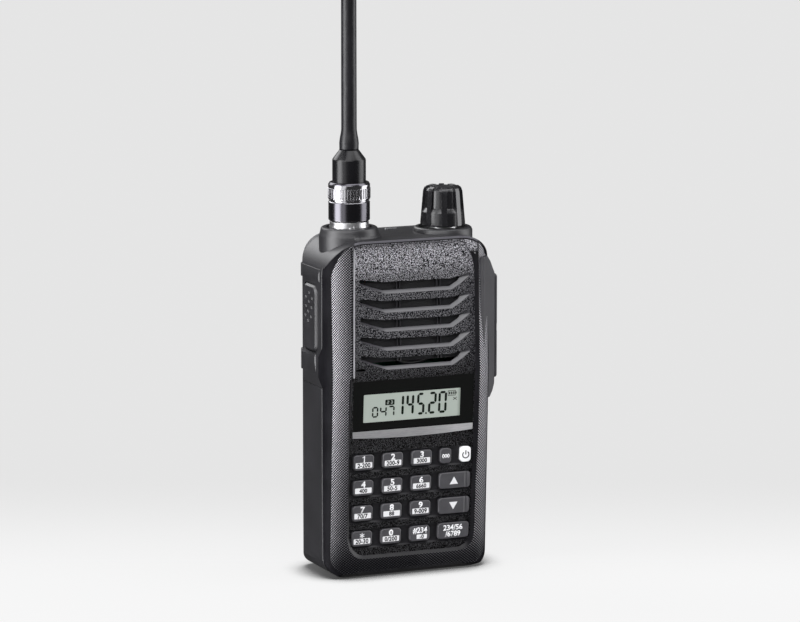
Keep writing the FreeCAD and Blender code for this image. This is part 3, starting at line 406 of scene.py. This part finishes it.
def net_material():
    """Woven acoustic cloth."""
    a = Mat("acoustic_net")
    k = 2 * math.pi / 0.42
    h = a.f("MULTIPLY", a.f("SINE", a.f("MULTIPLY", a.x, k)), a.f("SINE", a.f("MULTIPLY", a.z, k)))
    a.set(color=a.mix(a.ramp(h, -0.5, 0.5), (0.004, 0.004, 0.005), (0.014, 0.014, 0.016)), rough=0.85, normal=a.bump(h, 1.0, 0.08))
    return a.m


def board_material():
    a = Mat("solder_mask")
    cell = a.voronoi(0.35, "F1")
    trace = a.f("GREATER_THAN", a.f("SINE", a.f("ADD", a.f("MULTIPLY", a.x, 6.0), a.f("MULTIPLY", a.noise(0.15, 1.0), 20.0))), 0.6)
    col = a.mix(a.f("MULTIPLY", trace, 0.5), (0.010, 0.10, 0.045), (0.02, 0.17, 0.08))
    col = a.mix(a.ramp(cell, 0.16, 0.12), col, (0.55, 0.42, 0.16))
    a.set(color=col, rough=0.28, coat=0.3, normal=a.bump(trace, 1.0, 0.02))
    return a.m


def cell_material():
    a = Mat("cell_sleeve")
    band = a.ramp(a.z, 50.0, 50.2)
    n = a.noise(0.8, 4.0)
    a.set(color=a.mix(band, (0.03, 0.07, 0.22), (0.05, 0.05, 0.05)), rough=a.f("ADD", 0.28, a.f("MULTIPLY", n, 0.2)), coat=0.2, normal=a.bump(n, 1.0, 0.03))
    return a.m


M = {
    "case_black": case_material(),
    "frame_black": frame_material(),
    "cover_rubber": plastic("cover_rubber", (0.026, 0.0254, 0.0290), 0.42, 0.03),
    "window_glass": window_material(),
    "trim_silver": silver_material(),
    "lcd_glass": lcd_material(),
    "white_plastic": plastic("white_plastic", (0.72, 0.72, 0.70), 0.45, 0.02, vary=0.04),
    "net_black": net_material(),
    "steel": metal("satin_steel", (0.52, 0.52, 0.53), 0.30, (0.3, 1, 3)),
    "cone_dark": plastic("paper_cone", (0.03, 0.03, 0.033), 0.8, 0.08, 1.2),
    "membrane_rubber": plastic("silicone_sheet", (0.035, 0.035, 0.038), 0.6, 0.03),
    "board_green": board_material(),
    "die_cast": metal("die_cast", (0.46, 0.46, 0.48), 0.48, None, 0.03),
    "chrome": collar_material(),
    "ptfe": plastic("fluoropolymer", (0.8, 0.8, 0.8), 0.5, 0.01, vary=0.03),
    "brass": metal("gold_plate", (0.80, 0.58, 0.26), 0.2),
    "lens_clear": plastic("lens_resin", (0.10, 0.10, 0.105), 0.12, 0.003, coat=0.5),
    "gloss_black": plastic("gloss_black", (0.005, 0.0049, 0.0057), 0.26, 0.002, spec=0.28),
    "ptt_rubber": plastic("ptt_rubber", (0.0105, 0.0102, 0.012), 0.42, 0.03),
    "knob_black": plastic("knob_plastic", (0.008, 0.0078, 0.0092), 0.25, 0.02, 3.5, spec=0.6),
    "whip_rubber": plastic("whip_sheath", (0.009, 0.0088, 0.0104), 0.36, 0.02, spec=0.28),
    "cell_wrap": cell_material(),
    "key_grey": key_material(),
    "key_white": plastic("key_white", (0.86, 0.86, 0.87), 0.42, 0.01, vary=0.03),
}
REAR = rear_material()
HOUSING = housing_material()
INK_WHITE = ink_material("legend_white", (0.74, 0.74, 0.75))
INK_DARK = ink_material("legend_dark", (0.008, 0.008, 0.010), 0.5, 0.15)
INK_LCD = ink_material("lcd_segments", (0.003, 0.005, 0.003), 0.45, 0.10)

# ------------------------------------------------------------------ CAD nodes: materials and edge rounding
BEVEL = {  # node: (width mm, segments, angle)
    "front_case": (0.16, 2, 28), "body_frame": (0.22, 2, 28), "rear_panel": (0.2, 2, 28), "jack_housing": (0.3, 3, 24), "jack_cover": (0.15, 2, 30),
    "ptt_button": (0.14, 2, 24), "volume_knob": (0.22, 3, 26), "battery_case": (0.22, 2, 28), "coupling_collar": (0.1, 2, 28), "antenna_ferrule": (0.12, 2, 28),
    "display_window": (0.08, 2, 30), "window_trim": (0.08, 2, 30), "battery_latch": (0.12, 2, 30), "led_lens": (0.2, 3, 30),
}
for k in NODES:
    if k.startswith("key_") and k != "key_domes":
        BEVEL[k] = (0.10, 2, 26)
NO_DISSOLVE = ("front_case", "body_frame")
slot_of = {s["node"]: s["material_slot"] for s in frame["record"]["subparts"]}
for name, o in NODES.items():
    me = o.data
    mat = M[slot_of[name]]
    if name in ("rear_panel", "battery_case"):
        mat = REAR
    if name == "jack_housing":
        mat = HOUSING
    me.materials.clear()
    me.materials.append(mat)
    for p in me.polygons:
        p.use_smooth = True
    w = o.modifiers.new("weld", "WELD")
    w.merge_threshold = 1e-6
    if name in BEVEL:
        width, seg, ang = BEVEL[name]
        if name not in NO_DISSOLVE:
            d = o.modifiers.new("planar", "DECIMATE")
            d.decimate_type = "DISSOLVE"
            d.angle_limit = math.radians(0.6)
        b = o.modifiers.new("edge", "BEVEL")
        b.width = width * MM
        b.segments = seg
        b.limit_method = "ANGLE"
        b.angle_limit = math.radians(ang)
        b.use_clamp_overlap = True
        b.miter_outer = "MITER_ARC"
        b.harden_normals = True
    e = o.modifiers.new("normals", "WEIGHTED_NORMAL")
    e.keep_sharp = True
    e.weight = 60


# ------------------------------------------------------------------ added pieces
def add_mesh(name, verts, faces, mat, body, smooth=False):
    me = bpy.data.meshes.new(name)
    me.from_pydata(verts, [], faces)
    me.validate()
    bm = bmesh.new()
    bm.from_mesh(me)
    bmesh.ops.recalc_face_normals(bm, faces=bm.faces)
    bm.to_mesh(me)
    bm.free()
    o = bpy.data.objects.new(name, me)
    scene.collection.objects.link(o)
    me.materials.append(mat)
    if smooth:
        for p in me.polygons:
            p.use_smooth = True
    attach(o, body)
    return o


def prism(outlines, thick, mat4, low=0.0):
    """Closed prisms from 2-D outlines (mm, local x and y), from local z = low to thick."""
    verts, faces = [], []
    for pts in outlines:
        n, k = len(pts), len(verts)
        for z in (low, thick):
            verts += [mat4 @ Vector((x * MM, y * MM, z * MM)) for x, y in pts]
        faces.append(list(range(k + n - 1, k - 1, -1)))
        faces.append(list(range(k + n, k + 2 * n)))
        for i in range(n):
            j = (i + 1) % n
            faces.append([k + i, k + j, k + n + j, k + n + i])
    return verts, faces


def rrect(cx, cy, w, h, r, seg=6):
    pts = []
    for qx, qy, a0 in ((1, 1, 0), (-1, 1, 90), (-1, -1, 180), (1, -1, 270)):
        for i in range(seg + 1):
            t = math.radians(a0 + 90 * i / seg)
            pts.append((cx + qx * (w / 2 - r) + r * math.cos(t), cy + qy * (h / 2 - r) + r * math.sin(t)))
    return pts


def strip(points, width):
    """Quads along a polyline, as outlines for prism()."""
    out = []
    for (x0, y0), (x1, y1) in zip(points, points[1:]):
        dx, dy = x1 - x0, y1 - y0
        L = math.hypot(dx, dy)
        nx, ny = -dy / L * width / 2, dx / L * width / 2
        ex, ey = dx / L * width * 0.18, dy / L * width * 0.18
        out.append([(x0 - ex + nx, y0 - ey + ny), (x0 - ex - nx, y0 - ey - ny), (x1 + ex - nx, y1 + ey - ny), (x1 + ex + nx, y1 + ey + ny)])
    return out


def text_mesh(name, chars, height, mat4, mat, body, bold=0.0, width=1.0, thick=0.02, spacing=1.0):
    """Numerals and signs as thin solid print. height is a numeral's height in mm."""
    cu = bpy.data.curves.new(name + "_curve", "FONT")
    cu.body = chars
    cu.size = 1.0
    cu.align_x = "CENTER"
    cu.offset = bold
    cu.extrude = 0.0
    cu.resolution_u = 6
    cu.space_character = spacing
    tmp = bpy.data.objects.new(name + "_tmp", cu)
    scene.collection.objects.link(tmp)
    bpy.context.view_layer.update()
    me = bpy.data.meshes.new_from_object(tmp)
    bpy.data.objects.remove(tmp)
    bpy.data.curves.remove(cu)
    bm = bmesh.new()
    bm.from_mesh(me)
    bmesh.ops.remove_doubles(bm, verts=bm.verts, dist=1e-5)
    ys = [v.co.y for v in bm.verts]
    y0, y1 = min(ys), max(ys)
    xs = [v.co.x for v in bm.verts]
    xm = (min(xs) + max(xs)) / 2
    s = height / max(y1 - y0, 1e-6) if chars.isdigit() else height / 0.70
    ym = (y0 + y1) / 2
    ext = bmesh.ops.extrude_face_region(bm, geom=bm.faces[:])
    for g in ext["geom"]:
        if isinstance(g, bmesh.types.BMVert):
            g.co.z += 1.0
    for v in bm.verts:
        v.co = Vector(((v.co.x - xm) * s * width * MM, (v.co.y - ym) * s * MM, v.co.z * thick * MM))
    bmesh.ops.recalc_face_normals(bm, faces=bm.faces)
    bm.transform(mat4)
    bm.to_mesh(me)
    bm.free()
    me.name = name
    o = bpy.data.objects.new(name, me)
    scene.collection.objects.link(o)
    me.materials.clear()
    me.materials.append(mat)
    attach(o, body)
    return o


CAP = 0.62      # depth of the key caps' faces below the front face
KEYPOS = {
    "key_1": (COLS[0], ROWS[0]), "key_2": (COLS[1], ROWS[0]), "key_3": (COLS[2], ROWS[0]), "key_monitor": (12.2, ROWS[0]), "key_power": (19.4, ROWS[0]),
    "key_4": (COLS[0], ROWS[1]), "key_5": (COLS[1], ROWS[1]), "key_6": (COLS[2], ROWS[1]), "key_up": (15.75, ROWS[1]),
    "key_7": (COLS[0], ROWS[2]), "key_8": (COLS[1], ROWS[2]), "key_9": (COLS[2], ROWS[2]), "key_down": (15.75, ROWS[2]),
    "key_star": (COLS[0], ROWS[3]), "key_0": (COLS[1], ROWS[3]), "key_hash": (COLS[2], ROWS[3]), "key_call": (15.75, ROWS[3]),
}
SIGN = {"key_1": "1", "key_2": "2", "key_3": "3", "key_4": "4", "key_5": "5", "key_6": "6", "key_7": "7", "key_8": "8", "key_9": "9", "key_0": "0", "key_star": "*", "key_hash": "#"}
LABEL = {"key_1": "2-200", "key_2": "200-9", "key_3": "3000", "key_4": "400", "key_5": "50-5", "key_6": "6660", "key_7": "70/7", "key_8": "88", "key_9": "9-009", "key_star": "20-30", "key_0": "0/200"}
for key, sign in SIGN.items():
    x, z = KEYPOS[key]
    body = key + "_body"
    base = face_frame(x, z, CAP)
    if sign == "#":
        text_mesh(key + "_sign", "#234", 1.85, base @ Matrix.Translation((0.05 * MM, 1.05 * MM, -0.005 * MM)), INK_WHITE, body, bold=0.030, width=0.92, thick=0.028)
        v, f = prism([rrect(0.75, -1.05, 3.7, 1.5, 0.22)], 0.02, base, -0.01)
        add_mesh(key + "_label", v, f, INK_WHITE, body)
        text_mesh(key + "_mark", "-0", 1.25, base @ Matrix.Translation((0.75 * MM, -1.05 * MM, 0.012 * MM)), INK_DARK, body, bold=0.034, thick=0.016)
        continue
    v, f = prism([rrect(0, -0.82, 5.9, 1.84, 0.22)], 0.02, base, -0.01)
    add_mesh(key + "_label", v, f, INK_WHITE, body)
    if sign == "*":
        arms = []
        for k in range(3):
            t = math.radians(90 + 60 * k)
            c, q = math.cos(t), math.sin(t)
            arms += strip([(-0.80 * c, 1.15 - 0.80 * q), (0.80 * c, 1.15 + 0.80 * q)], 0.30)
        v, f = prism(arms, 0.022, base, -0.01)
        add_mesh(key + "_sign", v, f, INK_WHITE, body)
    elif sign == "1":
        v, f = prism([rrect(0.12, 1.25, 0.36, 2.15, 0.04)] + strip([(0.12, 2.18), (-0.48, 1.72)], 0.28), 0.022, base, -0.01)
        add_mesh(key + "_sign", v, f, INK_WHITE, body)
    else:
        text_mesh(key + "_sign", sign, 2.15, base @ Matrix.Translation((0, 1.25 * MM, -0.005 * MM)), INK_WHITE, body, bold=0.034, width=1.06, thick=0.028)
    lab = LABEL[key]
    text_mesh(key + "_mark", lab, 1.42, base @ Matrix.Translation((0, -0.84 * MM, 0.012 * MM)), INK_DARK, body, bold=0.034, thick=0.016, spacing=1.06, width=min(0.95, 5.35 / (len(lab) * 1.42 * 0.82)))

for key, tri in (("key_up", ((-1.5, -1.25), (1.5, -1.25), (0.0, 1.3))), ("key_down", ((-1.5, 1.25), (0.0, -1.3), (1.5, 1.25)))):
    x, z = KEYPOS[key]
    v, f = prism([list(tri)], 0.02, face_frame(x - 0.35, z, CAP), -0.01)
    add_mesh(key + "_arrow", v, f, INK_WHITE, key + "_body")

x, z = KEYPOS["key_call"]
text_mesh("key_call_sign_a", "234/56", 1.75, face_frame(x - 0.2, z + 1.12, CAP) @ Matrix.Translation((0, 0, -0.005 * MM)), INK_WHITE, "key_call_body", bold=0.030, width=1.0, thick=0.028)
text_mesh("key_call_sign_b", "/6789", 1.75, face_frame(x - 0.2, z - 1.05, CAP) @ Matrix.Translation((0, 0, -0.005 * MM)), INK_WHITE, "key_call_body", bold=0.030, width=0.95, thick=0.028)
x, z = KEYPOS["key_monitor"]
text_mesh("key_monitor_sign", "000", 1.35, face_frame(x, z, CAP) @ Matrix.Translation((0, 0, -0.005 * MM)), INK_WHITE, "key_monitor_body", bold=0.034, width=1.0, thick=0.028)
x, z = KEYPOS["key_power"]
arc = [(1.12 * math.sin(math.radians(a)), 1.12 * math.cos(math.radians(a)) - 0.12) for a in range(38, 323, 12)]
v, f = prism(strip(arc, 0.36) + [rrect(0, 0.66, 0.36, 1.45, 0.08)], 0.02, face_frame(x, z, CAP), -0.01)
add_mesh("key_power_sign", v, f, INK_DARK, "key_power_body")

# display: reflective panel area, segments and small signs, laminated on the window
WIN = 1.0
LCD0, LCD1 = (-17.6, 52.2), (16.9, 61.55)
cx, cz = (LCD0[0] + LCD1[0]) / 2, (LCD0[1] + LCD1[1]) / 2
lcd_frame = face_frame(0, 57.0, WIN)
zc0 = 57.0
v, f = prism([rrect(cx, (cz - zc0) / math.cos(T1), LCD1[0] - LCD0[0], (LCD1[1] - LCD0[1]) / math.cos(T1), 0.25)], 0.015, lcd_frame, -0.02)
add_mesh("display_image", v, f, M["lcd_glass"], "housing")

SEG = {"a": ((0, 1), (1, 1)), "b": ((1, 1), (1, 0.5)), "c": ((1, 0.5), (1, 0)), "d": ((0, 0), (1, 0)), "e": ((0, 0.5), (0, 0)), "f": ((0, 1), (0, 0.5)), "g": ((0, 0.5), (1, 0.5))}
DIG = {"0": "abcdef", "1": "bc", "2": "abged", "3": "abgcd", "4": "fgbc", "5": "afgcd", "6": "afgcde", "7": "abc", "8": "abcdefg", "9": "abcdfg"}


def segment(p, q, wdt, gap):
    (x0, y0), (x1, y1) = p, q
    dx, dy = x1 - x0, y1 - y0
    L = math.hypot(dx, dy)
    ux, uy = dx / L, dy / L
    nx, ny = -uy * wdt / 2, ux * wdt / 2
    x0, y0, x1, y1 = x0 + ux * gap, y0 + uy * gap, x1 - ux * gap, y1 - uy * gap
    t = wdt * 0.5
    return [(x0, y0), (x0 + ux * t + nx, y0 + uy * t + ny), (x1 - ux * t + nx, y1 - uy * t + ny), (x1, y1), (x1 - ux * t - nx, y1 - uy * t - ny), (x0 + ux * t - nx, y0 + uy * t - ny)]


def digit(ch, x0, x1, y0, y1, wdt, slant=0.02):
    out = []
    for s in DIG[ch]:
        (ax, ay), (bx, by) = SEG[s]
        def at(u, w):
            px = x0 + wdt / 2 + u * (x1 - x0 - wdt)
            py = y0 + wdt / 2 + w * (y1 - y0 - wdt)
            return px + (py - y0) * slant, py
        out.append(segment(at(ax, ay), at(bx, by), wdt, wdt * 0.10))
    return out


def zl(z):
    return (z - zc0) / math.cos(T1)


segs = []
big = [("1", -5.6, -3.35), ("4", -2.5, 0.25), ("5", 1.3, 4.05), ("2", 5.35, 8.3), ("0", 8.95, 12.0)]
for ch, a, b in big:
    segs += digit(ch, a, b, zl(53.5), zl(60.9), 0.82)
segs.append(rrect(4.72, zl(53.85), 0.55, 0.6, 0.12))
for ch, a, b in (("0", -14.6, -12.4), ("4", -11.8, -9.4), ("7", -8.9, -6.6)):
    segs += digit(ch, a, b, zl(53.7), zl(57.3), 0.52)
# battery sign and a small link sign
bx0, bx1, bz0, bz1 = 12.5, 15.1, zl(59.2), zl(60.8)
for p, q in (((bx0, bz0), (bx1, bz0)), ((bx1, bz0), (bx1, bz1)), ((bx1, bz1), (bx0, bz1)), ((bx0, bz1), (bx0, bz0))):
    segs += strip([p, q], 0.17)
segs.append(rrect(15.35, (bz0 + bz1) / 2, 0.32, 0.7, 0.05))
for i in range(3):
    segs.append(rrect(13.05 + 0.75 * i, (bz0 + bz1) / 2, 0.45, 0.95, 0.06))
segs += strip([(14.4, zl(57.65)), (15.6, zl(58.5))], 0.2) + strip([(14.4, zl(58.5)), (15.6, zl(57.65))], 0.2)
v, f = prism(segs, 0.03, lcd_frame, 0.010)
add_mesh("display_segments", v, f, INK_LCD, "housing")
# small reversed badge above the small numerals
v, f = prism([rrect(-8.3, zl(58.5), 3.3, 1.85, 0.3)], 0.024, lcd_frame, 0.010)
add_mesh("display_badge", v, f, INK_LCD, "housing")
v, f = prism(digit("2", -9.35, -8.55, zl(57.95), zl(59.05), 0.2) + digit("3", -8.05, -7.25, zl(57.95), zl(59.05), 0.2), 0.034, lcd_frame, 0.020)
add_mesh("display_badge_digits", v, f, M["lcd_glass"], "housing")

# ------------------------------------------------------------------ stage, light, camera
AZ, EL = math.radians(23.28), math.radians(9.44)
TARGET = Vector((0.00118, 0.0, 0.0861))
DIST = 1.336
FLOOR = 0.040
GLOW = 0.838


def stage():
    me = bpy.data.meshes.new("floor")
    S = 3.0
    me.from_pydata([(-S, -S, 0), (S, -S, 0), (S, S, 0), (-S, S, 0)], [], [(0, 1, 2, 3)])
    o = bpy.data.objects.new("floor", me)
    scene.collection.objects.link(o)
    m = bpy.data.materials.new("floor_paper")
    m.use_nodes = True
    nt = m.node_tree
    nt.nodes.clear()
    out = nt.nodes.new("ShaderNodeOutputMaterial")
    dif = nt.nodes.new("ShaderNodeBsdfDiffuse")
    dif.inputs[0].default_value = (FLOOR, FLOOR, FLOOR, 1)
    # painted contact shadow: the floor's even glow is dimmed by ambient occlusion close to the object
    occ = nt.nodes.new("ShaderNodeAmbientOcclusion")
    occ.inputs["Distance"].default_value = 0.014
    occ.samples = 12
    soft = nt.nodes.new("ShaderNodeMapRange")
    soft.interpolation_type = "SMOOTHSTEP"
    for i, w in enumerate((None, 0.42, 0.86, 0.03, GLOW)):
        if w is not None:
            soft.inputs[i].default_value = w
    nt.links.new(occ.outputs["AO"], soft.inputs[0])
    glow = nt.nodes.new("ShaderNodeEmission")
    glow.inputs[0].default_value = (1, 1, 1, 1)
    nt.links.new(soft.outputs[0], glow.inputs[1])
    both = nt.nodes.new("ShaderNodeAddShader")
    nt.links.new(dif.outputs[0], both.inputs[0])
    nt.links.new(glow.outputs[0], both.inputs[1])
    tr = nt.nodes.new("ShaderNodeBsdfTransparent")
    mx = nt.nodes.new("ShaderNodeMixShader")
    tc = nt.nodes.new("ShaderNodeTexCoord")
    dot = nt.nodes.new("ShaderNodeVectorMath")
    dot.operation = "DOT_PRODUCT"
    dot.inputs[1].default_value = (math.sin(AZ), math.cos(AZ), 0)
    nt.links.new(tc.outputs["Object"], dot.inputs[0])
    mr = nt.nodes.new("ShaderNodeMapRange")
    mr.interpolation_type = "SMOOTHSTEP"
    for i, w in enumerate((None, -0.03, 0.15, 0.0, 1.0)):
        if w is not None:
            mr.inputs[i].default_value = w
    nt.links.new(dot.outputs["Value"], mr.inputs[0])
    nt.links.new(mr.outputs[0], mx.inputs[0])
    nt.links.new(both.outputs[0], mx.inputs[1])
    nt.links.new(tr.outputs[0], mx.inputs[2])
    nt.links.new(mx.outputs[0], out.inputs[0])
    me.materials.append(m)
    o.visible_glossy = False
    o.visible_diffuse = False
    return o


stage()

# soft boxes painted on the world: (azimuth from, to, elevation from, to, edge softness, radiance);
# azimuth is degrees from the front towards the object's right, or from the back for the "rear" ones
BOXES = [
    ("front", -108, -72, -40, 46, 7, 9.5),
    ("front", -66, -44, -40, 46, 9, 1.8),
    ("front", 52, 92, -40, 56, 7, 3.8),
    ("front", -60, 0, 22, 50, 7, 4.7),
    ("rear", -44, 4, 16, 54, 6, 4.6),
    ("front", -60, 110, 56, 84, 8, 3.6),
]
AMBIENT_DIFFUSE, AMBIENT_GLOSSY = 0.22, 0.085


def studio():
    world = bpy.data.worlds.new("studio")
    world.use_nodes = True
    nt = world.node_tree
    nt.nodes.clear()

    def put(sock, v):
        if isinstance(v, bpy.types.NodeSocket):
            nt.links.new(v, sock)
        else:
            sock.default_value = v

    def f(op, a, b=None):
        n = nt.nodes.new("ShaderNodeMath")
        n.operation = op
        put(n.inputs[0], a)
        if b is not None:
            put(n.inputs[1], b)
        return n.outputs[0]

    def ramp(v, lo, hi):
        n = nt.nodes.new("ShaderNodeMapRange")
        n.interpolation_type = "SMOOTHSTEP"
        for i, w in enumerate((v, lo, hi, 0.0, 1.0)):
            put(n.inputs[i], w)
        return n.outputs[0]

    tc = nt.nodes.new("ShaderNodeTexCoord")
    nrm = nt.nodes.new("ShaderNodeVectorMath")
    nrm.operation = "NORMALIZE"
    nt.links.new(tc.outputs["Generated"], nrm.inputs[0])
    sep = nt.nodes.new("ShaderNodeSeparateXYZ")
    nt.links.new(nrm.outputs[0], sep.inputs[0])
    x, y, z = sep.outputs
    deg = 180 / math.pi
    az = {"front": f("MULTIPLY", f("ARCTAN2", x, f("MULTIPLY", y, -1.0)), deg), "rear": f("MULTIPLY", f("ARCTAN2", x, y), deg)}
    el = f("MULTIPLY", f("ARCSINE", z), deg)
    lp = nt.nodes.new("ShaderNodeLightPath")
    total = f("ADD", AMBIENT_GLOSSY, f("MULTIPLY", lp.outputs["Is Diffuse Ray"], AMBIENT_DIFFUSE - AMBIENT_GLOSSY))
    for side, a0, a1, e0, e1, soft, rad in BOXES:
        m = f("MULTIPLY", ramp(az[side], a0 - soft, a0 + soft), ramp(az[side], a1 + soft, a1 - soft))
        m = f("MULTIPLY", m, f("MULTIPLY", ramp(el, e0 - soft, e0 + soft), ramp(el, e1 + soft, e1 - soft)))
        total = f("ADD", total, f("MULTIPLY", m, rad))
    env = nt.nodes.new("ShaderNodeBackground")
    nt.links.new(total, env.inputs[1])
    env.inputs[0].default_value = (0.985, 0.985, 1.0, 1)
    back = nt.nodes.new("ShaderNodeBackground")
    back.inputs[0].default_value = (0.785, 0.785, 0.785, 1)
    mx = nt.nodes.new("ShaderNodeMixShader")
    nt.links.new(lp.outputs["Is Camera Ray"], mx.inputs[0])
    nt.links.new(env.outputs[0], mx.inputs[1])
    nt.links.new(back.outputs[0], mx.inputs[2])
    out = nt.nodes.new("ShaderNodeOutputWorld")
    nt.links.new(mx.outputs[0], out.inputs[0])
    scene.world = world


studio()

cam = bpy.data.cameras.new("camera")
cam.lens = 4051 / 800 * 36
cam.sensor_width = 36
cam.sensor_fit = "HORIZONTAL"
cam.clip_start = 0.05
cam_o = bpy.data.objects.new("camera", cam)
cam_o.location = TARGET + DIST * Vector((-math.sin(AZ) * math.cos(EL), -math.cos(AZ) * math.cos(EL), math.sin(EL)))
cam_o.rotation_euler = (TARGET - cam_o.location).to_track_quat("-Z", "Y").to_euler()
scene.collection.objects.link(cam_o)
scene.camera = cam_o
